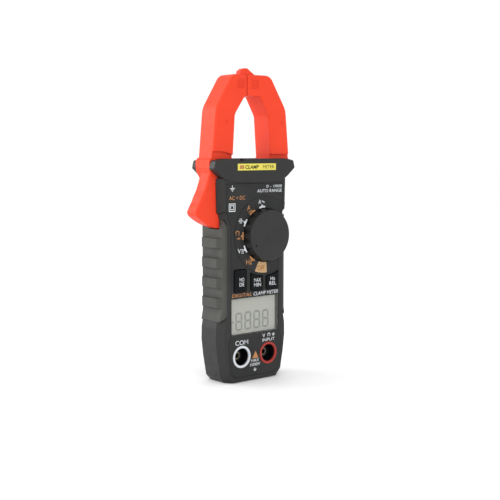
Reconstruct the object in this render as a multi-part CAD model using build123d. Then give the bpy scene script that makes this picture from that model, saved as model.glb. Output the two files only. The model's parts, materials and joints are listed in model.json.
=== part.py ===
from build123d import *
import math
import os

# Clamp meter, millimetres. +Z is up along the instrument and +Y runs from its front to its back.
# The origin is at the foot of the case, on its centre line and within its depth.

# ---------------------------------------------------------------- limits for cuts
FRONT_FAR, BACK_FAR = -30.0, 30.0    # depths in front of the whole meter and behind it
FAR = 100.0              # wider than the meter
INSIDE_Y = -5.0          # a depth inside the case, behind its front wall
PLAY = 0.05              # gap round a part that turns or lies in a recess

# ---------------------------------------------------------------- overall planes along the depth
FRONT_Y = -12.3          # face of the case that carries the printed panel
PANEL_GAP = 0.3          # groove round the printed panel
SPLIT_Y = 0.5            # parting plane of the two case shells
BACK_Y = 15.5            # back of the case
WALL = 2.2               # case wall
GUARD_FRONT_Y = -13.5    # front of the hand guard
GUARD_GAP_Y = (-6.7, 10.8)   # space between the front and rear plates of the guard
PANEL_THICK = 0.5        # printed panel and name plate
BOSS_R = 3.0             # screw pillars inside the case

# ---------------------------------------------------------------- case outline, half widths by height
HEAD_HALF, WAIST_HALF, FLARE_HALF = 34.2, 31.5, 33.8
CASE_TOP_Z = 157.0
GRIP_HALF = 27.6         # side of the case under the rubber grips
GRIP_BASE_HALF = 30.4    # rubber surface between the ribs
RIB_PROUD = 1.5          # how far the ribs stand out of the case
GRIP_Z = (44.0, 128.3)
RIB_TOP_Z, RIB_PITCH, RIB_HEIGHT, RIB_COUNT = 111.9, 15.2, 7.3, 4
EDGE_IN, EDGE_DEEP = 3.7, 6.2    # bevel round the front of the case
BACK_EDGE = 3.5
FOOT_EDGE = 0.8          # the bevel is small where the case stands

# ---------------------------------------------------------------- hand guard
GUARD_HALF = 39.9
GUARD_Z = (153.4, 171.9)
GUARD_WIDEST_Z = 164.6
NAME_PLATE = (-18.0, 20.0, 162.9, 168.2)     # left, right, bottom and top of the yellow plate
NOTCH_X, NOTCH_W, NOTCH_DEPTH = -14.0, 3.0, 1.8    # notch in the top edge of the guard

# ---------------------------------------------------------------- jaws
JAW_Y = (-8.3, 10.4)     # front and back faces of the jaws
JAW_FOOT_X = {-1: (37.4, 18.4), 1: (38.3, 19.3)}     # outer and inner half widths at the foot of each jaw
JAW_TOP_Z = 235.3
JAW_SPLIT_X = -4.7       # where the two jaw tips meet
JAW_SEAM = 0.05          # half the gap between the tips
SEAM_GROOVE = (0.45, 1.0)    # half width and depth of the groove along the seam
JAW_WALL = 3.2
OPENING_TOP_Z = 219.1
CORE_FOOT_Z = 177.5
JAW_FOOT_Z = 172.4
NECK_Y = -6.5            # front of the jaw roots, just behind the guard plate
PIVOT = (-22.0, 163.0)   # x and z of the jaw hinge
PIVOT_R = 2.5
HUB_R = 9.0
TRIGGER_HALF_DEPTH = 6.1
TRIGGER_R = 44.2         # lower edge of the trigger, round the hinge
TRIGGER_ARC = (229.2, 261.6)     # from where to where that edge runs, degrees from +X
SQUARE_RAISE, SQUARE_LINE = 0.35, 0.6    # moulded square outlines on the jaw tips
JAW_SCREWS = ((17.5, 152.5), (29.0, 163.5))
JAW_SCREW_HEAD_Y = 8.2

# ---------------------------------------------------------------- rotary switch
DIAL = (9.7, 113.0)
DIAL_RING_R = 30.0
KNOB_BASE_R, KNOB_TOP_R = 20.3, 19.4
KNOB_Y = (-19.3, -11.5)
KNOB_WELL_R, KNOB_WELL_Y = 21.1, -11.2   # round recess in the front that the knob's rim sits in
KNOB_LOBES = 18
LOBE_GROOVE_R, LOBE_GROOVE_DEPTH = 2.0, 1.5
DIAL_LINE_HALF, DIAL_LINE_DEPTH = 0.35, 0.22     # groove round the dial
SHAFT_R = 7.0
ROTOR_R = 14.0
POINTER_R = 16.0
POINTER_DEG = 207.0      # the pointer's place at rest, counter-clockwise from +X seen from the front
DETENT_STEP = 27.5       # angle between two switch positions
POSITIONS = range(-4, 3) # the seven switch positions, counted from the one at rest

# ---------------------------------------------------------------- keys, display, sockets, battery
KEY_X = (-14.75, 1.55, 17.05)
KEY_W, KEY_BOTTOM_Z, KEY_TOP_Z = 12.1, 70.4, 87.6
KEY_GAP = 0.4
KEY_CORNER_R = 1.3
KEY_Y = (-13.3, -9.2)    # top of a key and underside of its flange
KEY_FLANGE = (0.9, 0.7)  # width and thickness of the flange that keeps a key in
LCD_W, LCD_Z = 46.6, (37.2, 65.4)
SOCKET_X, SOCKET_Z = 13.3, 19.9
RING_R, WELL_R = 8.65, 6.6
PLUG_R = 2.03            # bore of a socket for a 4 mm plug
RING_Y = (-12.7, -11.4)
TUBE_R = 4.2             # insulating tube round a socket's metal sleeve
SLEEVE_R, FLANGE_R = 3.1, 3.7
SLEEVE_Y = (-6.2, 6.0)
PCB_Y = (-5.9, -4.3)
PCB_POSTS = ((-15.0, 108.0), (18.0, 139.5), (0.0, 30.5))
DOOR_HALF_W, DOOR_Z = 18.5, (24.4, 84.0)
CELL_R, CELL_LEN, CELL_PITCH = 5.2, 44.5, 10.9
CELL_Y, CELL_BOTTOM_Z = 8.5, 35.0
BAY_HALF_W, BAY_Z, BAY_WALL = 16.7, (33.2, 80.6), 1.2    # battery bay
DOOR_THICK = 1.6
DOOR_SCREW_Z = 28.4
CASE_SCREWS = ((-28.0, 38.0), (28.0, 38.0), (-23.3, 92.0), (28.8, 136.5))
CASE_SCREW_HEAD_Y = 7.5


# ---------------------------------------------------------------- helpers
def upright(y):
    """The plane at one depth, seen from the front. Its own second axis runs down."""
    return Plane((0, y, 0), x_dir=(1, 0, 0), z_dir=(0, 1, 0))


def slab(sketch, y0, y1):
    """A sketch drawn in X and Z, made solid between two depths."""
    return extrude(upright(y0) * sketch, y1 - y0)


def flat(points):
    """A closed outline as a sketch. Each point is x and z, and a corner radius where it is rounded."""
    face = make_face(Polyline(*[(p[0], -p[1]) for p in points], close=True))
    for point in points:
        if len(point) == 3:
            corner = face.vertices().sort_by_distance((point[0], -point[1], 0))[0]
            face = fillet(corner, point[2])
    return face


def block(x0, x1, y0, y1, z0, z1):
    return Pos((x0 + x1) / 2, (y0 + y1) / 2, (z0 + z1) / 2) * Box(x1 - x0, y1 - y0, z1 - z0)


def rod(x, z, r, y0, y1):
    """A round bar along the depth."""
    return Pos(x, (y0 + y1) / 2, z) * Rot(90, 0, 0) * Cylinder(r, y1 - y0)


def post(x, y, r, z0, z1):
    """A round bar along the height."""
    return Pos(x, y, (z0 + z1) / 2) * Cylinder(r, z1 - z0)


def mirrored(points):
    """A half outline from the top down on the right, closed by its mirror image on the left."""
    return points + [(-p[0], *p[1:]) for p in reversed(points)]


def inset(points, distance, foot=None, top=None):
    """The outline moved inwards, corners kept sharp. Its lowest and highest edges may move less."""
    area = sum(a[0] * b[1] - b[0] * a[1] for a, b in zip(points, points[1:] + points[:1]))
    side = 1 if area > 0 else -1
    low, high = min(p[1] for p in points), max(p[1] for p in points)
    lines = []
    for p, q in zip(points, points[1:] + points[:1]):
        length = math.dist(p, q)
        normal = (-side * (q[1] - p[1]) / length, side * (q[0] - p[0]) / length)
        shift = distance
        if foot is not None and p[1] == q[1] == low:
            shift = foot
        if top is not None and p[1] == q[1] == high:
            shift = top
        lines.append((normal, normal[0] * p[0] + normal[1] * p[1] + shift))
    result = []
    for (n1, d1), (n2, d2) in zip(lines[-1:] + lines[:-1], lines):
        cross = n1[0] * n2[1] - n1[1] * n2[0]
        result.append(((d1 * n2[1] - d2 * n1[1]) / cross, (n1[0] * d2 - n2[0] * d1) / cross))
    return result


def inset_round(points, distance):
    """inset() for an outline that has corner radii."""
    moved = inset([(p[0], p[1]) for p in points], distance)
    return [(*new, *old[2:]) for new, old in zip(moved, points)]


def frustum(points, wide_y, narrow_y, distance):
    """A bevelled slice of the case: its sides come in by a distance, its foot by less."""
    faces = [upright(wide_y) * flat(points), upright(narrow_y) * flat(inset(points, distance, FOOT_EDGE, 0.0))]
    return loft(faces, ruled=True)


def rounded(part, y, radius, chosen=None):
    """Rounds the edges of a part that lie at one depth, or those that chosen() picks by x and z."""
    edges = part.edges().filter_by_position(Axis.Y, y - 0.01, y + 0.01)
    if chosen:
        edges = [edge for edge in edges if chosen(edge.center().X, edge.center().Z)]
    return fillet(edges, radius)


def wire_rod(points, bend, radius):
    """A round wire along straight runs joined by bends."""
    path = FilletPolyline(*points, radius=bend)
    return sweep(Plane(origin=path @ 0, z_dir=path % 0) * Circle(radius), path=path)


PARTS = {}


def keep(name, shape):
    PARTS[name] = shape


# ---------------------------------------------------------------- case
def case_points():
    """The case seen from the front."""
    return mirrored([
        (HEAD_HALF, CASE_TOP_Z), (33.6, 130.4), (WAIST_HALF, 129.4), (WAIST_HALF, 55.0),
        (FLARE_HALF - 0.2, 43.0), (FLARE_HALF, 33.0), (32.4, 21.0), (29.4, 4.5), (25.4, 0.0),
    ])


def case_solid(shrink, front_y, back_y):
    """The case with its bevelled front and back edges, its outline moved inwards by a distance."""
    outline = inset(case_points(), shrink)
    bevel_y, back_bevel_y = front_y + EDGE_DEEP, back_y - BACK_EDGE
    middle = slab(flat(outline), bevel_y, back_bevel_y)
    front, back = frustum(outline, bevel_y, front_y, EDGE_IN), frustum(outline, back_bevel_y, back_y, BACK_EDGE)
    return middle + front + back


def grip_zone(side, grow=0.0):
    """Everything outside the grip line on one side of the case. It grows towards the case."""
    line = GRIP_HALF - grow
    top = [(37.0, GRIP_Z[1] + grow), (line, GRIP_Z[1] + grow)]
    if side < 0:
        top = [(37.0, 139.8 + grow), (line, 120.4 + grow)]
    low = GRIP_Z[0] - grow
    points = top + [(line, low + 9.2), (37.0, low), (60.0, low), (60.0, top[0][1])]
    return slab(flat([(side * x, z) for x, z in points]), FRONT_FAR, BACK_FAR)


def guard_points():
    """The boat-shaped hand guard seen from the front."""
    low, high = GUARD_Z
    return mirrored([
        (31.0, high, 6), (38.4, high - 1.5, 1.5), (GUARD_HALF, GUARD_WIDEST_Z, 1.5), (32.7, 158.4, 2),
        (27.0, low + 1.6, 10), (9.0, low),
    ])


def panel_points():
    """The printed panel: wide at the head, narrow between the grips, wider again round the sockets."""
    return mirrored([
        (27.9, 153.2), (27.9, 130.6, 2), (23.9, 121.6, 2), (23.9, 36.9, 1), (26.6, 30.4, 2), (25.6, 21.0, 8),
        (24.0, 8.0, 2), (19.8, 3.6, 2),
    ])


def key_face(x, grow=0.0):
    """A key seen from the front. The tops of two keys follow the edge of the dial."""
    half = KEY_W / 2 + grow
    top, bottom, r = KEY_TOP_Z + grow, KEY_BOTTOM_Z - grow, KEY_CORNER_R + grow
    face = flat([(x - half, top, r), (x + half, top, r), (x + half, bottom, r), (x - half, bottom, r)])
    return face - Pos(DIAL[0], -DIAL[1]) * Circle(DIAL_RING_R + 1.9 - grow)


def screw(x, z, head_y, tip_y, shank_r, head_r, head_h):
    """A cross-head screw driven from the back, with its head behind head_y."""
    body = rod(x, z, shank_r, tip_y, head_y) + rod(x, z, head_r, head_y, head_y + head_h)
    cross_y = head_y + head_h
    for w, h in ((head_r * 1.1, 0.5), (0.5, head_r * 1.1)):
        body -= block(x - w / 2, x + w / 2, cross_y - 0.7, cross_y + 1, z - h / 2, z + h / 2)
    return body


def trigger_slot():
    """The space that the trigger swings through, open to the left of the case."""
    half_depth = TRIGGER_HALF_DEPTH + 0.6
    sweep_disc = rod(*PIVOT, TRIGGER_R + 0.7, -half_depth, half_depth)
    return sweep_disc & block(-FAR, -24, FRONT_FAR, BACK_FAR, 100, 170)


def root_space():
    """The gap between the guard plates, over the head of the case."""
    low, high = GUARD_GAP_Y
    return block(-FAR, HEAD_HALF - WALL, low, high, 151.5, 200)


def case_cavity():
    """The hollow inside both shells."""
    hollow = case_solid(WALL, FRONT_Y + WALL, BACK_Y - WALL)
    return hollow - grip_zone(-1, WALL) - grip_zone(1, WALL)


def make_case():
    envelope, ribbed = case_solid(0, FRONT_Y, BACK_Y), case_solid(-RIB_PROUD, FRONT_Y, BACK_Y)
    zones = {-1: grip_zone(-1), 1: grip_zone(1)}
    cavity = case_cavity()
    slot, space = trigger_slot(), root_space()
    shell = envelope - zones[-1] - zones[1] - cavity

    # front shell, with the guard's front plate and the bridge between its plates
    front = shell & block(-FAR, FAR, FRONT_FAR, SPLIT_Y, -1, FAR * 3)
    front -= slab(flat(panel_points()), FRONT_FAR, FRONT_Y + PANEL_THICK)
    plate = slab(flat(guard_points()), GUARD_FRONT_Y, GUARD_GAP_Y[0])
    front = front - slot - space + rounded(plate, GUARD_FRONT_Y, 1.0)
    front += block(-11.5, 18.9, GUARD_GAP_Y[0] - 1, GUARD_GAP_Y[1], 167.4, GUARD_Z[1] - 0.6)
    inside = FRONT_Y + WALL - 0.5
    pillars = (
        (CASE_SCREWS, BOSS_R, SPLIT_Y, 1.3), (PCB_POSTS, 2.4, PCB_Y[0], 1.0), (JAW_SCREWS, BOSS_R, NECK_Y, 1.3),
    )
    for places, r, end_y, hole_r in pillars:
        for x, z in places:
            front += rod(x, z, r, inside, end_y)
        for x, z in places:
            front -= rod(x, z, hole_r, -9.7, end_y + 1)
    front -= rod(*PIVOT, PIVOT_R, -10.8, 0)
    front -= block(*NAME_PLATE[:2], GUARD_FRONT_Y - 1, GUARD_FRONT_Y + PANEL_THICK, *NAME_PLATE[2:])
    notch_left, notch_right = NOTCH_X - NOTCH_W / 2, NOTCH_X + NOTCH_W / 2
    front -= block(notch_left, notch_right, FRONT_FAR, GUARD_GAP_Y[0] + 1, GUARD_Z[1] - NOTCH_DEPTH, FAR * 2)
    front -= block(-LCD_W / 2, LCD_W / 2, FRONT_FAR, INSIDE_Y, *LCD_Z)
    for x in KEY_X:
        front -= slab(key_face(x, KEY_GAP), FRONT_FAR, INSIDE_Y)
    front -= rod(*DIAL, SHAFT_R + PLAY, FRONT_FAR, INSIDE_Y) + rod(*DIAL, KNOB_WELL_R, FRONT_FAR, KNOB_WELL_Y)
    for side in (-1, 1):
        front -= rod(side * SOCKET_X, SOCKET_Z, RING_R + PLAY, FRONT_FAR, INSIDE_Y)
    keep("front_housing", front)

    # rear shell
    rear = shell & block(-FAR, FAR, SPLIT_Y, BACK_FAR, -1, FAR * 3)
    plate = slab(flat(guard_points()), GUARD_GAP_Y[1], BACK_Y)
    plate = rounded(plate, BACK_Y, 1.0)
    rear = rear - slot - space + plate
    for x, z in CASE_SCREWS:
        rear += (rod(x, z, BOSS_R + 0.8, SPLIT_Y, BACK_Y - 1) & envelope) - zones[-1] - zones[1]
    bay_outer, (bay_low, bay_high), bay_y = BAY_HALF_W + BAY_WALL, BAY_Z, 3.0
    rear += block(-bay_outer, bay_outer, bay_y - 0.8, BACK_Y - WALL + 0.5, bay_low - BAY_WALL, bay_high + 1.4)
    rear += rod(0, DOOR_SCREW_Z, BOSS_R, 6.0, BACK_Y - WALL + 0.5)
    rear -= block(-BAY_HALF_W, BAY_HALF_W, bay_y, BACK_FAR, bay_low, bay_high)
    rear -= door_solid(0.12, PLAY)
    for x, z in CASE_SCREWS:
        rear -= rod(x, z, 1.6, 0, BACK_FAR) + rod(x, z, 2.9, CASE_SCREW_HEAD_Y, BACK_FAR)
    rear -= rod(0, DOOR_SCREW_Z, 1.1, 7.0, BACK_FAR)
    rear -= rod(*PIVOT, PIVOT_R, 9, 14.0)
    keep("rear_housing", rear)

    # rubber grips with cross ribs
    for side, name in ((-1, "grip_left"), (1, "grip_right")):
        profile = [(0, 150), (GRIP_BASE_HALF, 150)]
        for i in range(RIB_COUNT):
            top, bottom = RIB_TOP_Z - i * RIB_PITCH, RIB_TOP_Z - i * RIB_PITCH - RIB_HEIGHT
            profile += [(GRIP_BASE_HALF, top), (40.0, top), (40.0, bottom), (GRIP_BASE_HALF, bottom)]
        profile += [(GRIP_BASE_HALF, 57.5), (34.5, 40.0), (0, 40.0)]
        ribs = slab(flat([(side * x, z) for x, z in profile]), FRONT_FAR, BACK_FAR)
        grip = (ribbed & zones[side] & ribs) - rod(*DIAL, KNOB_WELL_R, FRONT_FAR, KNOB_WELL_Y)
        keep(name, grip - slot if side < 0 else grip)


def door_solid(gap=0.0, floor_gap=0.0):
    """The battery door, or with gaps the recess that it lies in."""
    low, high = DOOR_Z
    half, outside_y = DOOR_HALF_W + gap, BACK_FAR if gap else BACK_Y
    return block(-half, half, BACK_Y - DOOR_THICK - floor_gap, outside_y, low - gap, high + gap)


def make_trim():
    panel = slab(flat(inset_round(panel_points(), PANEL_GAP)), FRONT_Y, FRONT_Y + PANEL_THICK)
    panel -= slab(flat(guard_points()), FRONT_Y - 3, FRONT_Y + 3)
    panel -= block(-LCD_W / 2, LCD_W / 2, FRONT_FAR, INSIDE_Y, *LCD_Z)
    for x in KEY_X:
        panel -= slab(key_face(x, KEY_GAP), FRONT_FAR, INSIDE_Y)
    panel -= rod(*DIAL, KNOB_WELL_R, FRONT_FAR, INSIDE_Y)
    ring_in, ring_out = DIAL_RING_R - DIAL_LINE_HALF, DIAL_RING_R + DIAL_LINE_HALF
    panel -= rod(*DIAL, ring_out, FRONT_FAR, FRONT_Y + DIAL_LINE_DEPTH) - rod(*DIAL, ring_in, FRONT_FAR, 0)
    for side in (-1, 1):
        panel -= rod(side * SOCKET_X, SOCKET_Z, RING_R + PLAY, FRONT_FAR, INSIDE_Y)
    keep("front_panel", panel)
    x0, x1, z0, z1 = NAME_PLATE
    plate_y = (GUARD_FRONT_Y + PLAY, GUARD_FRONT_Y + PANEL_THICK)
    keep("name_plate", block(x0 + 0.1, x1 - 0.1, *plate_y, z0 + 0.1, z1 - 0.1))
    head_y = BACK_Y - 0.9
    door = door_solid() - rod(0, DOOR_SCREW_Z, 1.5, 0, BACK_FAR) - rod(0, DOOR_SCREW_Z, 2.7, head_y, BACK_FAR)
    finger_grooves, groove_pitch, groove_z = 5, 2.4, 70.0
    for i in range(finger_grooves):
        z = groove_z + i * groove_pitch
        door -= block(-7, 7, BACK_Y - 0.5, BACK_FAR, z, z + 1.0)
    for x in (-10, 10):
        door += block(x - 3, x + 3, 12.0, BACK_Y - DOOR_THICK, 79.0, 80.4)
    keep("battery_door", door)
    keep("battery_door_screw", screw(0, DOOR_SCREW_Z, head_y, 8.0, 1.05, 2.5, 0.8))
    screws = [screw(x, z, CASE_SCREW_HEAD_Y, -7.5, 1.25, 2.6, 2.0) for x, z in CASE_SCREWS]
    keep("case_screws", Compound(children=screws))


# ---------------------------------------------------------------- jaws
def jaw_points(side):
    """One jaw above the guard, seen from the front, from its tip round to its tip."""
    tip = (JAW_SPLIT_X + side * JAW_SEAM) * side
    outer_foot, inner_foot = JAW_FOOT_X[side]
    inner_knee, inner_top = ((16.2, 205.2, 8), 6.4) if side < 0 else ((16.9, 204.6, 8), 8.6)
    points = [
        (tip, JAW_TOP_Z), (18.4 + side * 0.6, JAW_TOP_Z, 8), (34.4 + side * 0.5, 209.6, 16),
        (outer_foot, JAW_FOOT_Z), (inner_foot, JAW_FOOT_Z), inner_knee, (inner_top, OPENING_TOP_Z, 1.0),
        (tip, OPENING_TOP_Z),
    ]
    return [(side * p[0], *p[1:]) for p in points]


def jaw_inner_points(side, distance):
    """The jaw's core space: the jaw outline without its foot, moved inwards."""
    points = [(p[0], p[1]) for p in jaw_points(side)]
    outer_foot, inner_foot = JAW_FOOT_X[side]
    points[3] = (side * (outer_foot - 0.5), CORE_FOOT_Z)
    points[4] = (side * (inner_foot - 0.4), CORE_FOOT_Z)
    return inset(points, distance)


def on_outer_edge(x, z):
    return math.dist((x, z), (0, 190)) > 31 and abs(x - JAW_SPLIT_X) > 0.3 and z > JAW_FOOT_Z + 1


def on_inner_edge(x, z):
    return math.dist((x, z), (0, 190)) <= 31 and z > JAW_FOOT_Z + 1


def jaw_arm(side):
    arm = slab(flat(jaw_points(side)), *JAW_Y)
    for y in JAW_Y:
        arm = rounded(arm, y, 1.6, on_outer_edge)
        arm = rounded(arm, y, 0.8, on_inner_edge)
    groove_half, groove_depth = SEAM_GROOVE
    left, right = JAW_SPLIT_X - groove_half, JAW_SPLIT_X + groove_half
    arm -= block(left, right, FRONT_FAR, JAW_Y[0] + groove_depth, OPENING_TOP_Z - 1, FAR * 3)
    arm -= block(left, right, FRONT_FAR, BACK_FAR, JAW_TOP_Z - groove_depth, FAR * 3)
    split = JAW_SPLIT_X + side * JAW_SEAM
    bump = [(-9.7, 234.0), (-9.7, 237.7), (-6.4, 239.8), (-3.4, 240.0), (4.4, 235.0), (4.4, 234.0)]
    half_space = block(*sorted((split, side * FAR)), FRONT_FAR, BACK_FAR, 200, 260)
    arm += slab(flat(bump), -6.6, -1.4) & half_space
    mark_x = -10.3 if side < 0 else 3.3
    arm += raised_square(mark_x, 228.2, 6.6) + raised_square(mark_x, 228.2, 3.4)
    return arm


def raised_square(x, z, size):
    """A thin square outline that stands out of a jaw's front face."""
    half, y0 = size / 2, JAW_Y[0] - SQUARE_RAISE
    outer = block(x - half, x + half, y0, JAW_Y[0] + 0.5, z - half, z + half)
    hole = half - SQUARE_LINE
    return outer - block(x - hole, x + hole, y0 - 1, 0, z - hole, z + hole)


def root_points(side):
    """The shoulder between the guard plates, and the root below it."""
    outer_foot, inner_foot = JAW_FOOT_X[side]
    shoulder = [
        (inner_foot, 172.6), (outer_foot, 172.6), (39.4, 170.6, 1.2), (39.5, 164.8, 1.2), (38.3, 160.9, 1),
    ]
    if side < 0:
        root = [(-34.0, 154.5), (-24.0, 152.5), (-14.6, 157.5), (-13.5, 166.0)]
        return [(-p[0], *p[1:]) for p in shoulder] + root
    return shoulder + [(34.0, 157.3), (30.0, 157.3), (30.0, 146.4), (13.8, 146.4), (13.8, 166.9), (19.0, 166.9)]


def neck_cut(side):
    """The jaw's front is set back above the guard plate. The moving jaw's step rises with its swing."""
    if side > 0:
        line = [(15.0, 175.2), (45.0, 175.2)]
    else:
        line = [(-15.0, 174.4), (-19.3, 174.9), (-25.0, 176.7), (-31.0, 177.4), (-45.0, 177.4)]
    return slab(flat(line + [(side * 45.0, 165.0), (side * 15.0, 165.0)]), FRONT_FAR, NECK_Y)


def make_jaw(side, name):
    jaw = jaw_arm(side) + slab(flat(root_points(side)), NECK_Y, GUARD_GAP_Y[1] - 0.2)
    jaw -= neck_cut(side)
    if side < 0:
        jaw += make_trigger()
        jaw += rod(*PIVOT, HUB_R, NECK_Y, GUARD_GAP_Y[1] - 0.2)
        jaw -= rod(*PIVOT, PIVOT_R + 0.05, FRONT_FAR, BACK_FAR)
        jaw -= rod(*PIVOT, 7.2, 6.4, BACK_FAR)
        jaw -= block(-28.6, -26.2, 6.4, BACK_FAR, 148, PIVOT[1])
        jaw -= slab(flat([(-22.0, 163.0), (-14.8, 163.0), (-6.0, 148.0), (-19.0, 148.0)]), 6.4, BACK_FAR)
    else:
        for x, z in JAW_SCREWS:
            jaw -= rod(x, z, 1.5, FRONT_FAR, BACK_FAR) + rod(x, z, 3.0, JAW_SCREW_HEAD_Y, BACK_FAR)
        jaw -= post(24.0, 0.0, 1.2, 140, 184)
    jaw -= slab(flat(jaw_inner_points(side, JAW_WALL)), -5.8, BACK_FAR)
    keep(name, jaw)
    keep(name + "_cover", slab(flat(jaw_inner_points(side, JAW_WALL + 0.1)), 8.9, JAW_Y[1] - 0.1))
    core = slab(flat(jaw_inner_points(side, JAW_WALL + 0.5)), -5.4, 8.6)
    if side > 0:
        core -= block(10, 50, FRONT_FAR, BACK_FAR, 170, 186.0)
    keep(name + "_core", core)


def make_trigger():
    """The lever below the hinge. Its lower edge is an arc round the hinge."""
    start, end = [math.radians(a) for a in TRIGGER_ARC]
    px, pz = PIVOT
    angles = (start, (start + end) / 2, end)
    on_arc = [(px + TRIGGER_R * math.cos(a), pz + TRIGGER_R * math.sin(a)) for a in angles]
    edge = [
        on_arc[0], (-51.9, 132.0), (-50.0, 135.9), (-47.6, 139.8), (-45.8, 143.8), (-43.2, 148.4),
        (-41.2, 153.6), (-38.6, 161.4), (-20.0, 162.0), (-23.0, 148.0), on_arc[2],
    ]
    lines = Polyline(*[(x, -z) for x, z in edge])
    arc = ThreePointArc(*[(x, -z) for x, z in reversed(on_arc)])
    face = make_face(lines + arc)
    lever = slab(face, -TRIGGER_HALF_DEPTH, TRIGGER_HALF_DEPTH)
    for y in (-TRIGGER_HALF_DEPTH, TRIGGER_HALF_DEPTH):
        lever = rounded(lever, y, 1.5, lambda x, z: x < -30 and z < 155)
    return lever


def make_jaw_fittings():
    keep("pivot_pin", rod(*PIVOT, PIVOT_R, -10.8, 14.0))
    px, pz = PIVOT
    coil_r, wire_r, y0, pitch, turns, leg = 5.4, 0.5, 7.1, 1.05, 2.5, 12.0
    coil = Pos(px, y0, pz) * Rot(-90, 0, 0) * Helix(pitch, pitch * turns, coil_r, lefthand=True)
    start, end = coil @ 0, coil @ 1
    legs = [Line(start - leg * (coil % 0), start), Line(end, end + leg * (coil % 1))]
    path = Wire([legs[0].edge(), coil.edge(), legs[1].edge()])
    keep("trigger_spring", sweep(Plane(origin=path @ 0, z_dir=path % 0) * Circle(wire_r), path=path))
    screws = [screw(x, z, JAW_SCREW_HEAD_Y, -9.4, 1.25, 2.6, 1.8) for x, z in JAW_SCREWS]
    keep("jaw_screws", Compound(children=screws))
    keep("hall_sensor", block(25.0, 32.0, -2.0, 2.0, 181.2, 185.4))
    keep("sensor_connector", block(18.0, 24.0, PCB_Y[1], 2.0, 127.0, 133.0))
    cable_path = [(24, 0, 181.0), (24, 0, 141.5), (21, 0, 137.5), (21, 0, 133.0)]
    keep("sensor_cable", wire_rod(cable_path, 2.5, 0.9))


# ---------------------------------------------------------------- rotary switch and keys
def make_switch():
    top_y, base_y = KNOB_Y
    axis = Pos(DIAL[0], 0, DIAL[1])
    cap = Pos(0, (top_y + base_y) / 2, 0) * Rot(90, 0, 0) * Cone(KNOB_BASE_R, KNOB_TOP_R, base_y - top_y)
    cap = rounded(cap, top_y, 0.9)
    tilt = math.degrees(math.atan((KNOB_BASE_R - KNOB_TOP_R) / (base_y - top_y)))
    cutter_x = KNOB_BASE_R + LOBE_GROOVE_R - LOBE_GROOVE_DEPTH
    cutter = Pos(cutter_x, base_y, 0) * Rot(0, 0, tilt) * Rot(90, 0, 0) * Cylinder(LOBE_GROOVE_R, 30)
    for i in range(KNOB_LOBES):
        cap -= Rot(0, (i + 0.5) * 360 / KNOB_LOBES, 0) * cutter
    cap -= rod(0, 0, 16.0, top_y + 2.2, base_y + 1)
    cap += rod(0, 0, SHAFT_R, top_y + 1.5, -9.8)
    cap += block(-3, 3, -9.9, -8.2, -3, 3)
    a = math.radians(POINTER_DEG)
    cap -= rod(POINTER_R * math.cos(a), POINTER_R * math.sin(a), 0.9, top_y - 1, top_y + 0.9)
    keep("rotary_knob", axis * cap)

    rotor = rod(0, 0, ROTOR_R, -9.8, -8.2) - block(-3.05, 3.05, FRONT_FAR, 0, -3.05, 3.05)
    for i in POSITIONS:
        a = math.radians(90 - i * DETENT_STEP)
        rotor -= rod(ROTOR_R * math.cos(a), ROTOR_R * math.sin(a), 1.3, FRONT_FAR, 0)
    keep("switch_rotor", axis * rotor)
    wipers = []
    for i, r in enumerate((6.5, 9.0, 11.5)):
        strip = block(-2.6, 2.6, -8.2, -7.9, r - 0.6, r + 0.6)
        for end in (-2.1, 2.1):
            strip += block(end - 0.5, end + 0.5, -7.9, -6.1, r - 0.6, r + 0.6)
        wipers.append(axis * Rot(0, i * 120, 0) * strip)
    keep("switch_wipers", Compound(children=wipers))
    bump = rod(0, ROTOR_R + 0.25, 1.1, -9.7, -8.3)
    leaf = block(-8, 8, -9.7, -8.3, ROTOR_R + 1.0, ROTOR_R + 1.5)
    keep("detent_spring", axis * (leaf + bump))

    for x, name in zip(KEY_X, ("key_left", "key_middle", "key_right")):
        top_y, flange_y = KEY_Y
        width, thickness = KEY_FLANGE
        key = rounded(slab(key_face(x), top_y, flange_y), top_y, 0.5)
        key += slab(key_face(x, width), flange_y - thickness, flange_y)
        keep(name, key)
    mat = block(-19.5, 22.5, -7.3, PCB_Y[0], 69.6, 82.0)
    for x in KEY_X:
        mat += rod(x, 76.2, 3.4, -8.0, -7.2)
    keep("keypad_mat", mat)


# ---------------------------------------------------------------- display
def make_display():
    z0, z1 = LCD_Z
    keep("lcd_window", block(-LCD_W / 2 + 0.1, LCD_W / 2 - 0.1, FRONT_Y + 0.05, -11.1, z0 + 0.1, z1 - 0.1))
    keep("lcd_glass", block(-24.2, 24.2, -10.0, -7.9, z0 - 0.8, z1 + 0.8))
    frame = block(-24.8, 24.8, -10.0, PCB_Y[0], z0 - 1.8, z1 + 1.8)
    frame -= block(-24.3, 24.3, FRONT_FAR, -7.8, z0 - 0.9, z1 + 0.9)
    frame -= block(-22, 22, FRONT_FAR, 0, z0 + 0.2, z1 - 0.2)
    keep("lcd_frame", frame)
    strips = [block(-20, 20, -7.9, PCB_Y[0], z, z + 1.6) for z in (z0 + 0.4, z1 - 2.0)]
    keep("lcd_contact_strips", Compound(children=strips))


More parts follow.
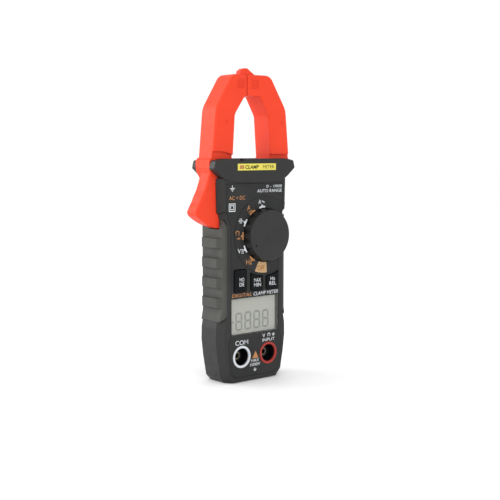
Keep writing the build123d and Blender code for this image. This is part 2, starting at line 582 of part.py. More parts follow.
# ---------------------------------------------------------------- circuit board, sockets, battery
def make_board():
    outline = [
        (24.0, 5.2), (24.0, 33.4), (20.0, 36.0), (20.0, 112.0), (24.5, 115.0), (24.5, 144.0), (-4.6, 144.0),
        (-4.6, 114.5), (-20.0, 114.5), (-20.0, 36.0), (-24.0, 33.4), (-24.0, 5.2),
    ]
    board = slab(flat(outline), *PCB_Y)
    for side in (-1, 1):
        board -= rod(side * SOCKET_X, SOCKET_Z, 8.4, FRONT_FAR, BACK_FAR)
    for x, z in PCB_POSTS:
        board -= rod(x, z, 1.1, FRONT_FAR, BACK_FAR)
    keep("main_pcb", board)
    screws = [screw(x, z, PCB_Y[1], -9.5, 0.95, 2.0, 1.3) for x, z in PCB_POSTS]
    keep("pcb_screws", Compound(children=screws))
    keep("measurement_chip", block(-6, 6, PCB_Y[1], -2.7, 48, 60))
    resistors = [Pos(0, PCB_Y[1] + 1.5, z) * Rot(0, 90, 0) * Cylinder(1.5, 8.5) for z in (37.5, 41.5, 45.5)]
    keep("input_resistors", Compound(children=resistors))
    keep("timing_crystal", block(9.5, 14.0, PCB_Y[1], -1.2, 53, 63))
    keep("buzzer", rod(-9, 97, 6.5, PCB_Y[1], -1.6) - rod(-9, 97, 1.0, -2.6, 0))


def make_sockets():
    for side, name in ((-1, "com"), (1, "volt")):
        x = side * SOCKET_X
        y0, y1 = SLEEVE_Y
        ring = rod(x, SOCKET_Z, RING_R, RING_Y[0], RING_Y[1]) - rod(x, SOCKET_Z, WELL_R + 0.2, FRONT_FAR, 0)
        keep("socket_ring_" + name, rounded(ring, RING_Y[0], 0.4))
        shell = rod(x, SOCKET_Z, RING_R, RING_Y[1], -10.1) + rod(x, SOCKET_Z, 8.2, -10.1, 7.6)
        shell -= rod(x, SOCKET_Z, WELL_R, FRONT_FAR, 6.3) - rod(x, SOCKET_Z, TUBE_R, y0 - 0.8, 6.4)
        shell -= rod(x, SOCKET_Z, SLEEVE_R, FRONT_FAR, y1 - 1.2) + rod(x, SOCKET_Z, FLANGE_R, y1 - 1.2, 6.3)
        shell -= rod(x, SOCKET_Z, 1.2, 0, BACK_FAR)
        keep("socket_shell_" + name, shell)
        sleeve = rod(x, SOCKET_Z, SLEEVE_R, y0, y1) + rod(x, SOCKET_Z, FLANGE_R, y1 - 1.2, 6.3)
        sleeve += rod(x, SOCKET_Z, 1.2, 6.0, 9.4)
        sleeve -= rod(x, SOCKET_Z, PLUG_R, y0 - 1, y1 - 1.5)
        keep("socket_sleeve_" + name, sleeve)
    leads = []
    for side in (-1, 1):
        path = [(side * SOCKET_X, 10.1, SOCKET_Z), (side * 19.6, 10.1, 26.0), (side * 19.6, 3.5, 32.5),
                (side * 19.6, PCB_Y[1], 32.5)]
        leads.append(wire_rod(path, 2.0, 0.7))
    keep("socket_leads", Compound(children=leads))


def make_battery():
    cells, springs, plates = [], [], []
    for i in (-1, 0, 1):
        x = i * CELL_PITCH
        top = CELL_BOTTOM_Z + CELL_LEN
        cells.append(post(x, CELL_Y, CELL_R, CELL_BOTTOM_Z, top - 1.0) + post(x, CELL_Y, 1.9, top - 1.0, top))
        plate = block(x - 4, x + 4, CELL_Y - 3.2, CELL_Y + 3.2, 33.2, 33.6)
        springs.append(plate + Pos(x, CELL_Y, 34.3) * Cone(3.2, 2.2, 1.4))
        plate = block(x - 4, x + 4, CELL_Y - 3.2, CELL_Y + 3.2, 80.2, 80.6)
        plates.append(plate + post(x, CELL_Y, 1.6, top, 80.4))
    keep("battery_cells", Compound(children=cells))
    keep("battery_springs", Compound(children=springs))
    keep("battery_plates", Compound(children=plates))


make_case()
make_trim()
make_jaw(1, "fixed_jaw")
make_jaw(-1, "moving_jaw")
make_jaw_fittings()
make_switch()
make_display()
make_board()
make_sockets()
make_battery()

os.makedirs("parts", exist_ok=True)
for node, shape in PARTS.items():
    export_step(shape, f"parts/{node}.step")
print(len(PARTS), "nodes")
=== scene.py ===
import json
import math

import bmesh
import bpy
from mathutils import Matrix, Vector


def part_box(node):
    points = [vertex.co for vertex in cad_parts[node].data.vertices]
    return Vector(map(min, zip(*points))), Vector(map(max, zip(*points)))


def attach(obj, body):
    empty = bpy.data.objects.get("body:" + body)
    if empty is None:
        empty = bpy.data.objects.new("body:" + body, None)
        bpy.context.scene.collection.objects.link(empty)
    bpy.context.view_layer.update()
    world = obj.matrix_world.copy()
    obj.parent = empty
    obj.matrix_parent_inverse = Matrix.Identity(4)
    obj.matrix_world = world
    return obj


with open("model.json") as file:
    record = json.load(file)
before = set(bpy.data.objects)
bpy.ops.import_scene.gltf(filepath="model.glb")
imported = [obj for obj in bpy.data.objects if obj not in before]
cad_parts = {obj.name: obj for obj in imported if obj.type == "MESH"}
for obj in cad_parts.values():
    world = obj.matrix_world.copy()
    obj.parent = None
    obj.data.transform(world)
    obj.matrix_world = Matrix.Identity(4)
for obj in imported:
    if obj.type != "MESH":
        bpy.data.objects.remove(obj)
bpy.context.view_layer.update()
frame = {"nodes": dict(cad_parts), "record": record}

# A clamp meter standing on a pale floor. Metres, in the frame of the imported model: the front of the meter
# faces -Y and its foot is at the origin. Lengths of prints and marks are written in millimetres.
MM = 0.001
scene = bpy.context.scene

PRINT_THICK = 0.03 * MM           # ink on a surface
PRINT_LIFT = 0.01 * MM            # how far ink stands clear of that surface
MIX_FACTOR, MIX_FIRST, MIX_SECOND, MIX_RESULT = 0, 6, 7, 2     # colour sockets of a Mix node


def centre(node):
    low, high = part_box(node)
    return (low + high) / 2


# ---------------------------------------------------------------- materials
def node_material(name):
    """A material with an empty tree apart from its shader and output."""
    material = bpy.data.materials.new(name)
    material.use_nodes = True
    tree = material.node_tree
    tree.nodes.clear()
    shader = tree.nodes.new("ShaderNodeBsdfPrincipled")
    output = tree.nodes.new("ShaderNodeOutputMaterial")
    tree.links.new(shader.outputs["BSDF"], output.inputs["Surface"])
    return material, tree, shader


def noise(tree, coordinates, scale, detail=3.0, stretch=(1, 1, 1)):
    """A noise texture in metres, scale features to the metre, stretched along the axes."""
    mapping = tree.nodes.new("ShaderNodeMapping")
    mapping.inputs["Scale"].default_value = stretch
    texture = tree.nodes.new("ShaderNodeTexNoise")
    texture.inputs["Scale"].default_value = scale
    texture.inputs["Detail"].default_value = detail
    tree.links.new(coordinates, mapping.inputs["Vector"])
    tree.links.new(mapping.outputs["Vector"], texture.inputs["Vector"])
    return texture.outputs["Fac"]


def spread(tree, value, low, high, start=0.3, end=0.7):
    """Maps a value between start and end onto the range from low to high."""
    node = tree.nodes.new("ShaderNodeMapRange")
    for key, number in (("From Min", start), ("From Max", end), ("To Min", low), ("To Max", high)):
        node.inputs[key].default_value = number
    tree.links.new(value, node.inputs["Value"])
    return node.outputs["Result"]


def mixer(tree, factor, second):
    """A Mix node for colours that goes to the colour second with a factor."""
    mix = tree.nodes.new("ShaderNodeMix")
    mix.data_type = "RGBA"
    mix.inputs[MIX_SECOND].default_value = (*second, 1)
    tree.links.new(factor, mix.inputs[MIX_FACTOR])
    return mix


def tint(tree, factor, first, second):
    """A colour that goes from first to second with a factor."""
    mix = mixer(tree, factor, second)
    mix.inputs[MIX_FIRST].default_value = (*first, 1)
    return mix.outputs[MIX_RESULT]


def scaled(colour, factor):
    return tuple(min(1.0, c * factor) for c in colour)


def edge_mask(tree, radius):
    """1 along sharp edges and 0 on flat faces, from how far a rounded normal leaves the true one."""
    bevel = tree.nodes.new("ShaderNodeBevel")
    bevel.samples = 4
    bevel.inputs["Radius"].default_value = radius
    geometry = tree.nodes.new("ShaderNodeNewGeometry")
    product = tree.nodes.new("ShaderNodeVectorMath")
    product.operation = "DOT_PRODUCT"
    tree.links.new(bevel.outputs["Normal"], product.inputs[0])
    tree.links.new(geometry.outputs["Normal"], product.inputs[1])
    return spread(tree, product.outputs["Value"], 1.0, 0.0, 0.75, 0.99), bevel.outputs["Normal"]


PALER = 2.2                       # how much paler fully worn edges are
SHEEN_RANGE = 0.07                # how far the roughness goes either way
BLOTCHES, SMUDGES = 55.0, 190.0   # noise scales to the metre


def moulded(name, colour, roughness, grain, grain_depth, wear=0.25, patch=0.12, edge=0.35,
            specular=0.5, stretch=(1, 1, 1), metallic=0.0):
    """Moulded plastic, rubber or metal: fine grain, uneven sheen, faint blotches and paler worn edges.

    grain is the size of the surface grain and edge the radius of the worn edges, in millimetres."""
    material, tree, shader = node_material(name)
    coordinates = tree.nodes.new("ShaderNodeTexCoord").outputs["Object"]
    blotches = noise(tree, coordinates, BLOTCHES, 4.0)
    smudges = noise(tree, coordinates, SMUDGES, 5.0)
    fine = noise(tree, coordinates, 1000.0 / grain, 2.0, stretch)
    mask, soft_normal = edge_mask(tree, edge * MM)

    base = tint(tree, spread(tree, blotches, 0, 1), scaled(colour, 1 - patch), scaled(colour, 1 + patch))
    share = tree.nodes.new("ShaderNodeMath")
    share.operation = "MULTIPLY"
    tree.links.new(mask, share.inputs[0])
    tree.links.new(spread(tree, smudges, 0.1, 0.9), share.inputs[1])
    worn = mixer(tree, share.outputs[0], scaled(colour, 1.0 + PALER * wear))
    tree.links.new(base, worn.inputs[MIX_FIRST])
    tree.links.new(worn.outputs[MIX_RESULT], shader.inputs["Base Color"])
    sheen = spread(tree, smudges, roughness - SHEEN_RANGE, roughness + SHEEN_RANGE)
    tree.links.new(sheen, shader.inputs["Roughness"])

    bump = tree.nodes.new("ShaderNodeBump")
    bump.inputs["Strength"].default_value = 0.5
    bump.inputs["Distance"].default_value = grain_depth * MM
    tree.links.new(fine, bump.inputs["Height"])
    tree.links.new(soft_normal, bump.inputs["Normal"])
    tree.links.new(bump.outputs["Normal"], shader.inputs["Normal"])
    shader.inputs["Specular IOR Level"].default_value = specular
    shader.inputs["Metallic"].default_value = metallic
    return material


def clear_window(name, colour, alpha):
    """A thin clear window that mostly lets the display through and keeps its gloss."""
    material, tree, shader = node_material(name)
    coordinates = tree.nodes.new("ShaderNodeTexCoord").outputs["Object"]
    smears = noise(tree, coordinates, 120.0, 5.0, (1, 1, 3))
    waves = noise(tree, coordinates, 60.0, 1.0)
    tree.links.new(tint(tree, smears, scaled(colour, 0.9), colour), shader.inputs["Base Color"])
    tree.links.new(spread(tree, smears, 0.10, 0.28), shader.inputs["Roughness"])
    bump = tree.nodes.new("ShaderNodeBump")
    bump.inputs["Strength"].default_value = 0.15
    bump.inputs["Distance"].default_value = 0.02 * MM
    tree.links.new(waves, bump.inputs["Height"])
    tree.links.new(bump.outputs["Normal"], shader.inputs["Normal"])
    shader.inputs["Alpha"].default_value = alpha
    return material


LOOKS = {
    "case_plastic": moulded("case_plastic", (0.021, 0.022, 0.021), 0.48, 0.35, 0.05, wear=0.5,
                            specular=0.28),
    "grip_rubber": moulded("grip_rubber", (0.050, 0.052, 0.046), 0.60, 0.30, 0.06, wear=0.12,
                           specular=0.30),
    "jaw_plastic": moulded("jaw_plastic", (0.79, 0.052, 0.018), 0.46, 0.5, 0.03, wear=0.06, patch=0.03,
                           edge=0.5, specular=0.18),
    "panel_film": moulded("panel_film", (0.021, 0.022, 0.0215), 0.5, 0.22, 0.03, wear=0.3, specular=0.22),
    "label_film": moulded("label_film", (0.72, 0.63, 0.10), 0.36, 0.4, 0.01, wear=0.03, patch=0.05,
                          edge=0.1, specular=0.3),
    "knob_plastic": moulded("knob_plastic", (0.021, 0.022, 0.021), 0.46, 0.3, 0.04, wear=0.6, edge=0.3,
                            specular=0.28),
    "key_rubber": moulded("key_rubber", (0.0040, 0.0045, 0.0055), 0.45, 0.25, 0.02, wear=1.0, edge=0.35,
                          specular=0.10),
    "mat_rubber": moulded("mat_rubber", (0.50, 0.50, 0.47), 0.6, 0.3, 0.03),
    "window_plastic": clear_window("window_plastic", (0.85, 0.87, 0.85), 0.06),
    "lcd": moulded("lcd", (0.36, 0.37, 0.325), 0.45, 0.12, 0.004, wear=0.0, patch=0.03, edge=0.1,
                   specular=0.2),
    "white_plastic": moulded("white_plastic", (0.62, 0.65, 0.68), 0.4, 0.4, 0.02, wear=0.03, patch=0.04,
                             specular=0.3),
    "red_plastic": moulded("red_plastic", (0.36, 0.030, 0.022), 0.4, 0.4, 0.02, wear=0.06, patch=0.06,
                           specular=0.3),
    "nickel": moulded("nickel", (0.26, 0.235, 0.18), 0.38, 0.15, 0.01, metallic=1.0, patch=0.06),
    "steel": moulded("steel", (0.52, 0.52, 0.53), 0.30, 0.15, 0.01, metallic=1.0, patch=0.08,
                     stretch=(1, 8, 1)),
    "core_steel": moulded("core_steel", (0.33, 0.33, 0.35), 0.4, 0.3, 0.03, metallic=1.0,
                          stretch=(1, 6, 1)),
    "board": moulded("board", (0.02, 0.17, 0.06), 0.35, 0.5, 0.02),
    "chip": moulded("chip", (0.022, 0.022, 0.023), 0.55, 0.15, 0.02),
    "cell": moulded("cell", (0.08, 0.14, 0.34), 0.25, 0.5, 0.01),
    "wire": moulded("wire", (0.42, 0.03, 0.025), 0.45, 0.4, 0.02),
}


def ink(name, colour):
    return moulded(name, colour, 0.5, 0.2, 0.005, wear=0.0, patch=0.08, edge=0.02, specular=0.2)


INKS = {
    "white_ink": ink("white_ink", (0.66, 0.69, 0.72)),
    "orange_ink": ink("orange_ink", (0.46, 0.21, 0.085)),
    "tan_ink": ink("tan_ink", (0.50, 0.32, 0.165)),
    "amber_ink": ink("amber_ink", (0.36, 0.15, 0.035)),
    "dark_ink": ink("dark_ink", (0.035, 0.03, 0.02)),
    "segment_ink": ink("segment_ink", (0.19, 0.20, 0.175)),
    # Black ink for printed lines, also used for painted shadow round the knob and painted shade beside the
    # display.
    "black_and_shade_ink": ink("black_and_shade_ink", (0.012, 0.012, 0.012)),
}

for part in frame["record"]["subparts"]:
    node = frame["nodes"][part["node"]]
    node.data.materials.clear()
    node.data.materials.append(LOOKS[part["material_slot"]])

# The socket shells are black plastic, made darker than the case as painted shade for the deep wells.
SOCKET_BLACK_AND_SHADE = moulded("socket_black_and_shade", (0.005, 0.005, 0.006), 0.5, 0.3, 0.03, wear=0.3, specular=0.12)
for socket in ("com", "volt"):
    shell = frame["nodes"]["socket_shell_" + socket].data
    shell.materials.clear()
    shell.materials.append(SOCKET_BLACK_AND_SHADE)


# ---------------------------------------------------------------- mesh helpers
def plane_at(y):
    """Turns (x, z) millimetres into points of the plane at depth y, in metres."""
    return lambda point: Vector((point[0] * MM, y, point[1] * MM))


def add_prism(bm, loop, y, thickness):
    """A thin solid with the outline loop, standing out of the plane y towards the front."""
    back = [bm.verts.new(plane_at(y)(p)) for p in loop]
    front = [bm.verts.new(plane_at(y - thickness)(p)) for p in loop]
    bm.faces.new(back)
    bm.faces.new(list(reversed(front)))
    for i, j in zip(range(len(loop)), [*range(1, len(loop)), 0]):
        bm.faces.new((back[i], front[i], front[j], back[j]))


def add_band(bm, outer, inner, y, thickness):
    """A closed band between two loops that have the same number of points."""
    rings = [[bm.verts.new(plane_at(depth)(p)) for p in loop]
             for loop, depth in ((outer, y), (outer, y - thickness), (inner, y - thickness), (inner, y))]
    for a, b in zip(rings, rings[1:] + rings[:1]):
        for i, j in zip(range(len(a)), [*range(1, len(a)), 0]):
            bm.faces.new((a[i], a[j], b[j], b[i]))


def mesh_piece(name, bm, material, body):
    """Makes a piece of a finished bmesh, and rides it on a body."""
    bmesh.ops.recalc_face_normals(bm, faces=bm.faces)
    mesh = bpy.data.meshes.new(name)
    bm.to_mesh(mesh)
    bm.free()
    mesh.materials.append(material)
    piece = bpy.data.objects.new(name, mesh)
    scene.collection.objects.link(piece)
    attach(piece, body)
    return piece


def marks(name, loops, y, material, body="case", bands=(), thickness=PRINT_THICK):
    """Printed marks in one piece: filled outlines, and bands given as pairs of loops."""
    bm = bmesh.new()
    for loop in loops:
        add_prism(bm, loop, y - PRINT_LIFT, thickness)
    for outer, inner in bands:
        add_band(bm, outer, inner, y - PRINT_LIFT, thickness)
    return mesh_piece(name, bm, material, body)


def stroke(points, width):
    """The outline of a line of an even width through points."""
    left, right = [], []
    for i, point in enumerate(points):
        before = Vector(points[max(i - 1, 0)])
        after = Vector(points[min(i + 1, len(points) - 1)])
        along = (after - before).normalized()
        across = Vector((-along.y, along.x)) * width / 2
        left.append(tuple(Vector(point) + across))
        right.append(tuple(Vector(point) - across))
    return left + right[::-1]


def arc(middle, radius, start, end, steps=20):
    """Points along an arc, with its angles in degrees from +X towards +Z."""
    angles = [math.radians(start + (end - start) * i / steps) for i in range(steps + 1)]
    return [(middle[0] + radius * math.cos(a), middle[1] + radius * math.sin(a)) for a in angles]


def circle(middle, radius, steps=64):
    return arc(middle, radius, 0, 360, steps)[:-1]


def square(middle, size):
    x, z = middle
    h = size / 2
    return [(x - h, z - h), (x + h, z - h), (x + h, z + h), (x - h, z + h)]


def rectangle(x0, x1, z0, z1):
    return [(x0, z0), (x1, z0), (x1, z1), (x0, z1)]


SIGN_LINE = 0.5                   # width of the lines in the printed signs


def wave(middle, width, height):
    """A sine wave, the sign for alternating current."""
    steps = 16
    points = []
    for i in range(steps + 1):
        share = i / steps
        points.append((middle[0] + width * (share - 0.5), middle[1] + height * math.sin(2 * math.pi * share)))
    return [stroke(points, 1.1 * SIGN_LINE)]


def steady(middle, width):
    """A line over three dashes, the sign for direct current."""
    x, z = middle
    dash = width / 4
    loops = [rectangle(x - width / 2, x + width / 2, z + 0.3, z + 0.75)]
    for i in (-1, 0, 1):
        dash_x = x + i * 1.5 * dash
        loops.append(rectangle(dash_x - dash / 2, dash_x + dash / 2, z - 0.75, z - 0.3))
    return loops


def omega(middle, radius):
    """The sign for resistance."""
    x, z = middle
    foot_x, foot_z = radius * math.cos(math.radians(60)), z - radius * math.sin(math.radians(60))
    loop = arc(middle, radius, -60, 240)
    points = [(x + radius * 1.15, foot_z), (x + foot_x + 0.05, foot_z + 0.02)] + loop
    points += [(x - foot_x - 0.05, foot_z + 0.02), (x - radius * 1.15, foot_z)]
    return [stroke(points, 1.2 * SIGN_LINE)]


def diode(middle, size):
    """A triangle against a bar on a line, the sign for a diode test."""
    x, z = middle
    h = size / 2
    return [
        [(x - h * 0.6, z - h * 0.75), (x - h * 0.6, z + h * 0.75), (x + h * 0.5, z)],
        rectangle(x + h * 0.55, x + h * 0.8, z - h * 0.75, z + h * 0.75),
        rectangle(x - h * 1.5, x - h * 0.65, z - 0.18, z + 0.18),
        rectangle(x + h * 0.85, x + h * 1.6, z - 0.18, z + 0.18),
    ]


def capacitor(middle, size):
    """Two plates with their leads, the sign for a capacitance test."""
    x, z = middle
    h, half = size / 2, SIGN_LINE / 2
    left, right = x - h * 0.32, x + h * 0.32
    return [
        rectangle(left - half, left + half, z - h, z + h),
        rectangle(right - half, right + half, z - h, z + h),
        rectangle(x - h * 1.2, left - half - 0.05, z - half, z + half),
        rectangle(right + half + 0.05, x + h * 1.2, z - half, z + half),
    ]


def earth(middle, size):
    """A stem over three shortening bars, the sign for earth."""
    x, z = middle
    h, half = size / 2, SIGN_LINE / 2
    loops = [rectangle(x - half, x + half, z + 0.35, z + h)]
    for i, share in enumerate((1.0, 0.62, 0.25)):
        low = z - 0.2 - i * h * 0.42
        loops.append(rectangle(x - h * share, x + h * share, low, low + SIGN_LINE))
    return loops


def lettering(name, text, box, y, material, body="case", weight=0.008, slant=0.0):
    """Printed text that fills a box of (x0, x1, z0, z1) millimetres on the plane at depth y."""
    curve = bpy.data.curves.new(name, "FONT")
    curve.body = text
    curve.offset = weight
    curve.shear = slant
    curve.resolution_u = 6
    maker = bpy.data.objects.new(name + "_curve", curve)
    scene.collection.objects.link(maker)
    bpy.context.view_layer.update()
    flat = bpy.data.meshes.new_from_object(maker.evaluated_get(bpy.context.evaluated_depsgraph_get()))
    bpy.data.objects.remove(maker)
    bm = bmesh.new()
    bm.from_mesh(flat)
    bpy.data.meshes.remove(flat)
    bmesh.ops.remove_doubles(bm, verts=bm.verts, dist=1e-5)
    xs, ys = [v.co.x for v in bm.verts], [v.co.y for v in bm.verts]
    x0, x1, z0, z1 = [value * MM for value in box]
    for vert in bm.verts:
        across = (vert.co.x - min(xs)) / (max(xs) - min(xs))
        up = (vert.co.y - min(ys)) / (max(ys) - min(ys))
        vert.co = Vector((x0 + (x1 - x0) * across, y - PRINT_LIFT, z0 + (z1 - z0) * up))
    bottom = list(bm.faces)
    raised = bmesh.ops.extrude_face_region(bm, geom=bottom, use_keep_orig=True)
    for item in raised["geom"]:
        if isinstance(item, bmesh.types.BMVert):
            item.co.y -= PRINT_THICK
    return mesh_piece(name, bm, material, body)


# ---------------------------------------------------------------- prints on the panel
PANEL_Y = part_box("front_panel")[0].y
SQUARE_RAISE = 0.35 * MM          # how far the moulded squares stand out of the jaws' front faces
JAW_FRONT_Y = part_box("moving_jaw")[0].y + SQUARE_RAISE
CROSS_RAISE = 0.18 * MM

knob_low, knob_high = [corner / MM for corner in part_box("rotary_knob")]
DIAL = ((knob_low.x + knob_high.x) / 2, (knob_low.z + knob_high.z) / 2)
KNOB_R = (knob_high.z - knob_low.z) / 2
TICK_R = KNOB_R + 1.7
TICK_ANGLES = (97, 124.5, 152, 179.5, 207, 234.5)     # the switch positions that have a label
OFF_ANGLES = (250, 253, 274)      # outer start, inner start and end of the block under OFF
OFF_R = KNOB_R + 9.2
WELL_DEPTH = 1.1 * MM             # the round recess under the knob, from the panel's face
SHADOW_RING = (KNOB_R + 0.75, KNOB_R - 1.2)
DIAL_LINE_R, DIAL_LINE_HALF = 30.0, 0.4
DIAL_LINE_DEPTH = 0.22 * MM       # the line lies in a groove in the panel
DIAL_LINE_ARC = (126, 249)        # the part of the groove that lies on the panel, left of the keys
SEGMENT_W = 1.55                  # bars of the display's digits


def print_head():
    """Over the dial: signs for earth and double insulation, and three lines of text."""
    marks("print_earth_sign", earth((-22.2, 149.6), 4.6), PANEL_Y, INKS["white_ink"])
    lettering("print_mode_line", "AC + DC", (-25.4, -9.8, 140.9, 143.9), PANEL_Y, INKS["orange_ink"])
    middle = (-22.5, 135.2)
    bands = [(square(middle, 6.2), square(middle, 5.0)), (square(middle, 3.6), square(middle, 2.5))]
    marks("print_double_square", [], PANEL_Y, INKS["white_ink"], bands=bands)
    lettering("print_range_top", "0 - 1000", (11.2, 27.0, 149.5, 151.6), PANEL_Y, INKS["white_ink"])
    lettering("print_range_line", "AUTO RANGE", (2.0, 27.0, 145.9, 148.4), PANEL_Y, INKS["white_ink"])


def tick(angle):
    """A curved bar along the knob with a short point outwards, at one angle in degrees."""
    loop = arc(DIAL, TICK_R - 0.7, angle - 8, angle + 8, 10)
    loop += arc(DIAL, TICK_R + 0.6, angle + 7.5, angle + 3, 4)
    loop += arc(DIAL, TICK_R + 1.9, angle + 0.7, angle - 0.7, 1)
    return loop + arc(DIAL, TICK_R + 0.6, angle - 3, angle - 7.5, 4)


def print_dial():
    """Ticks and labels round the knob, white and orange in turn, and the dark lines round the dial."""
    for colour, first in (("white_ink", 0), ("orange_ink", 1)):
        loops = [tick(angle) for angle in TICK_ANGLES[first::2]]
        marks("print_ticks_" + colour, loops, PANEL_Y, INKS[colour])

    # Painted shadow: a black ring on the floor of the recess round the knob.
    shadow = [circle(DIAL, radius) for radius in SHADOW_RING]
    marks("knob_shadow_ring", [], PANEL_Y + WELL_DEPTH, INKS["black_and_shade_ink"], bands=[shadow])
    radii = (DIAL_LINE_R + DIAL_LINE_HALF, DIAL_LINE_R - DIAL_LINE_HALF)
    outer, inner = [arc(DIAL, radius, *DIAL_LINE_ARC, 60) for radius in radii]
    marks("print_dial_line", [outer + inner[::-1]], PANEL_Y + DIAL_LINE_DEPTH, INKS["black_and_shade_ink"])

    lettering("print_current_ac", "A", (3.2, 6.1, 137.0, 140.4), PANEL_Y, INKS["white_ink"])
    marks("print_current_ac_sign", wave((8.0, 138.7), 2.6, 0.6), PANEL_Y, INKS["white_ink"])
    lettering("print_current_dc", "A", (-8.0, -4.6, 132.4, 136.4), PANEL_Y, INKS["orange_ink"])
    marks("print_current_dc_sign", steady((-4.6, 131.0), 3.6), PANEL_Y, INKS["orange_ink"])
    marks("print_capacitor", capacitor((-14.2, 124.8), 3.9), PANEL_Y, INKS["white_ink"])
    marks("print_resistance", omega((-17.4, 115.6), 1.6) + diode((-16.2, 111.5), 2.6), PANEL_Y,
          INKS["orange_ink"])
    lettering("print_voltage", "V", (-17.2, -14.0, 100.3, 103.6), PANEL_Y, INKS["white_ink"])
    marks("print_voltage_sign", wave((-12.5, 102.6), 2.4, 0.5) + steady((-12.5, 100.6), 2.4), PANEL_Y,
          INKS["white_ink"])
    lettering("print_frequency", "Hz", (-9.0, -3.0, 91.0, 95.2), PANEL_Y, INKS["orange_ink"])

    outer_start, inner_start, end = OFF_ANGLES
    block = arc(DIAL, TICK_R - 0.7, inner_start, end, 8) + arc(DIAL, OFF_R, end, outer_start, 8)
    marks("print_off_block", [block], PANEL_Y, INKS["tan_ink"])
    lettering("print_off", "OFF", (2.2, 9.4, 85.6, 89.4), PANEL_Y - 2 * PRINT_THICK, INKS["amber_ink"],
              weight=0.02)


def print_keys():
    """Two short lines on each key."""
    height, line_pitch, letter_half = 2.9, 3.7, 1.15
    # for each key: its two lines, how far they stand right of its middle, and the top of the first line
    words = {
        "key_left": ("MO", "DE", 0.8, 81.4), "key_middle": ("MAX", "MIN", 0.0, 80.0),
        "key_right": ("Hz", "REL", 0.0, 80.0),
    }
    for node, (first, second, shift, first_top) in words.items():
        x, y = centre(node).x / MM + shift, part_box(node)[0].y
        for i, text in enumerate((first, second)):
            half = letter_half * len(text)
            top = first_top - i * line_pitch
            lettering(f"print_{node}_{i}", text, (x - half, x + half, top - height, top), y,
                      INKS["white_ink"], body=node)


def print_foot():
    """The line over the display and the marks round the sockets."""
    display_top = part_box("lcd_window")[1].z / MM
    title_z = (display_top + 1.2, display_top + 4.0)
    lettering("print_title_left", "DIGITAL", (-23.0, -3.4, *title_z), PANEL_Y, INKS["orange_ink"], slant=0.2)
    lettering("print_title_right", "CLAMP METER", (-1.6, 23.4, *title_z), PANEL_Y, INKS["white_ink"],
              slant=0.2)
    lettering("print_com", "COM", (-19.6, -7.0, 29.2, 32.9), PANEL_Y, INKS["white_ink"])
    lettering("print_volt_unit", "V", (7.4, 10.2, 32.6, 35.4), PANEL_Y, INKS["white_ink"])
    signs = omega((14.0, 34.2), 1.2) + capacitor((18.6, 34.0), 2.4)
    marks("print_volt_signs", signs, PANEL_Y, INKS["white_ink"])
    lettering("print_volt_input", "INPUT", (7.4, 20.0, 29.2, 31.6), PANEL_Y, INKS["white_ink"])
    triangle = [(0.4, 23.0), (-2.9, 17.3), (3.4, 17.3)]
    marks("print_triangle", [triangle], PANEL_Y, INKS["orange_ink"])
    lettering("print_limit_top", "MAX", (-4.1, 3.9, 14.4, 16.7), PANEL_Y, INKS["white_ink"])
    lettering("print_limit", "1000V", (-5.0, 5.2, 11.2, 13.6), PANEL_Y, INKS["white_ink"])
    marks("print_foot_earth", earth((-0.2, 8.4), 3.0), PANEL_Y, INKS["white_ink"])


def print_plate():
    """The yellow plate on the guard: an orange block and two plain words."""
    low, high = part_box("name_plate")
    y, x0 = low.y, low.x / MM
    z0, z1 = low.z / MM + 1.1, high.z / MM - 1.2
    marks("plate_block", [rectangle(x0 + 2.0, x0 + 6.2, z0, z1)], y, INKS["orange_ink"])
    lettering("plate_word_left", "CLAMP", (x0 + 7.2, x0 + 20.6, z0, z1), y, INKS["dark_ink"],
              weight=0.03, slant=0.15)
    lettering("plate_word_right", "METER", (x0 + 24.6, x0 + 36.0, z0 + 0.2, z1 - 0.1), y, INKS["dark_ink"],
              weight=0.0)


def segment(start, end):
    """One bar of a digit with pointed ends."""
    a, b = Vector(start), Vector(end)
    along = (b - a).normalized()
    across = Vector((-along.y, along.x)) * SEGMENT_W / 2
    inner = SEGMENT_W / 2 + 0.08
    points = [a + along * 0.1, a + along * inner + across, b - along * inner + across, b - along * 0.1,
              b - along * inner - across, a + along * inner - across]
    return [tuple(p) for p in points]


def print_display():
    """Four seven-segment digits that show faintly while the meter is off, and a dark frame round them whose
    wider right side is painted shade from the window's wall.
    """
    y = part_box("lcd_glass")[0].y
    loops = []
    z_low, z_high, width = 40.8, 53.6, 5.3
    z_mid = (z_low + z_high) / 2
    for x in (-17.0, -8.1, 0.8, 9.5):
        for z in (z_low, z_mid, z_high):
            loops.append(segment((x, z), (x + width, z)))
        for side_x in (x, x + width):
            loops.append(segment((side_x, z_low), (side_x, z_mid)))
            loops.append(segment((side_x, z_mid), (side_x, z_high)))
    for x in (-9.9, -1.0, 7.8):
        loops.append(square((x, z_low), 1.0))
    minus_sign = rectangle(-21.6, -18.9, 46.6, 47.8)
    loops.append(minus_sign)
    marks("display_segments", loops, y, INKS["segment_ink"])

    low, high = [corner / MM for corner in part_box("lcd_window")]
    outer = rectangle(low.x - 0.6, high.x + 0.6, low.z - 0.6, high.z + 0.6)
    # The frame is printed black. Its wider strip on the right side is painted shade from the window's wall.
    inner = rectangle(low.x + 0.3, high.x - 1.3, low.z + 0.3, high.z - 0.3)
    marks("display_frame_and_shade", [], y, INKS["black_and_shade_ink"], bands=[(outer, inner)])


def jaw_marks():
    """A small raised cross on the front of each jaw, level with where the conductor should lie."""
    z, arm, half = 199.25, 1.6, SIGN_LINE / 2
    for name, x, body in (("jaw_cross_left", -24.6, "moving_jaw"), ("jaw_cross_right", 30.5, "case")):
        left = rectangle(x - arm, x - half, z - half, z + half)
        right = rectangle(x + half, x + arm, z - half, z + half)
        upright = rectangle(x - half, x + half, z - 1.45, z + 1.45)
        cross = [left, right, upright]
        marks(name, cross, JAW_FRONT_Y, LOOKS["jaw_plastic"], body=body,
              thickness=CROSS_RAISE)


print_head()
print_dial()
print_keys()
print_foot()
print_plate()
print_display()
jaw_marks()


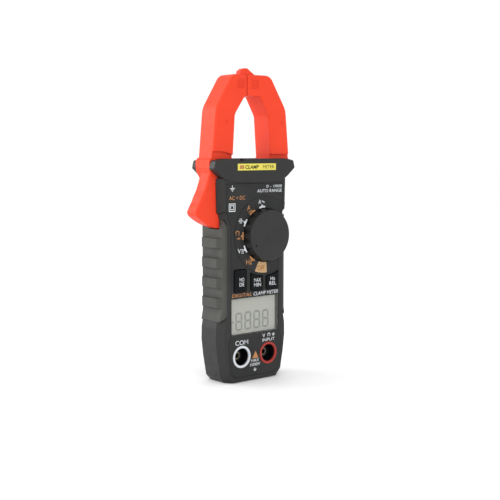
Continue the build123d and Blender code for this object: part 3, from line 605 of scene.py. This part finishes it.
# ---------------------------------------------------------------- camera, floor and light
CAMERA_PLACE = (-0.47881, -0.58975, 0.17836)
CAMERA_TILT, CAMERA_TURN = 84.171, -39.361     # degrees from straight down, and about Z
LENS_MM, SENSOR_MM = 70.54, 36.0
WORLD_STRENGTH = 1.03
TARGET = Vector((0, 0, 0.12))                  # what the lights are aimed at

camera_data = bpy.data.cameras.new("camera")
camera_data.sensor_width = SENSOR_MM
camera_data.lens = LENS_MM
camera_data.clip_start = 0.01
camera = bpy.data.objects.new("camera", camera_data)
camera.location = CAMERA_PLACE
camera.rotation_euler = (math.radians(CAMERA_TILT), 0.0, math.radians(CAMERA_TURN))
scene.collection.objects.link(camera)
scene.camera = camera

FLOOR_HALF = 6.0
floor_corners = [(x * FLOOR_HALF, y * FLOOR_HALF, 0) for x, y in ((-1, -1), (1, -1), (1, 1), (-1, 1))]
floor_mesh = bpy.data.meshes.new("floor")
floor_mesh.from_pydata(floor_corners, [], [(0, 1, 2, 3)])
floor = bpy.data.objects.new("floor", floor_mesh)
floor_mesh.materials.append(moulded("floor_paper", (0.97, 0.97, 0.97), 0.7, 2.0, 0.02, wear=0.0, patch=0.0))
scene.collection.objects.link(floor)

world = bpy.data.worlds.new("world")
world.use_nodes = True
background = world.node_tree.nodes["Background"]
background.inputs["Color"].default_value = (1.0, 1.0, 1.0, 1.0)
background.inputs["Strength"].default_value = WORLD_STRENGTH
scene.world = world
scene.view_settings.view_transform = "Standard"


def softbox(name, place, size, power):
    """A square soft light aimed at the meter, its size in metres and its power in watts."""
    data = bpy.data.lights.new(name, "AREA")
    data.shape = "SQUARE"
    data.size = size
    data.energy = power
    light = bpy.data.objects.new(name, data)
    light.location = place
    light.rotation_euler = (TARGET - Vector(place)).to_track_quat("-Z", "Y").to_euler()
    scene.collection.objects.link(light)


softbox("light_left", (-1.7, 0.45, 0.6), 0.7, 5.0)
softbox("light_back_left", (-1.0, 1.1, 0.6), 0.8, 9.0)
softbox("light_front", (-0.7, -1.5, 0.9), 1.0, 5.0)
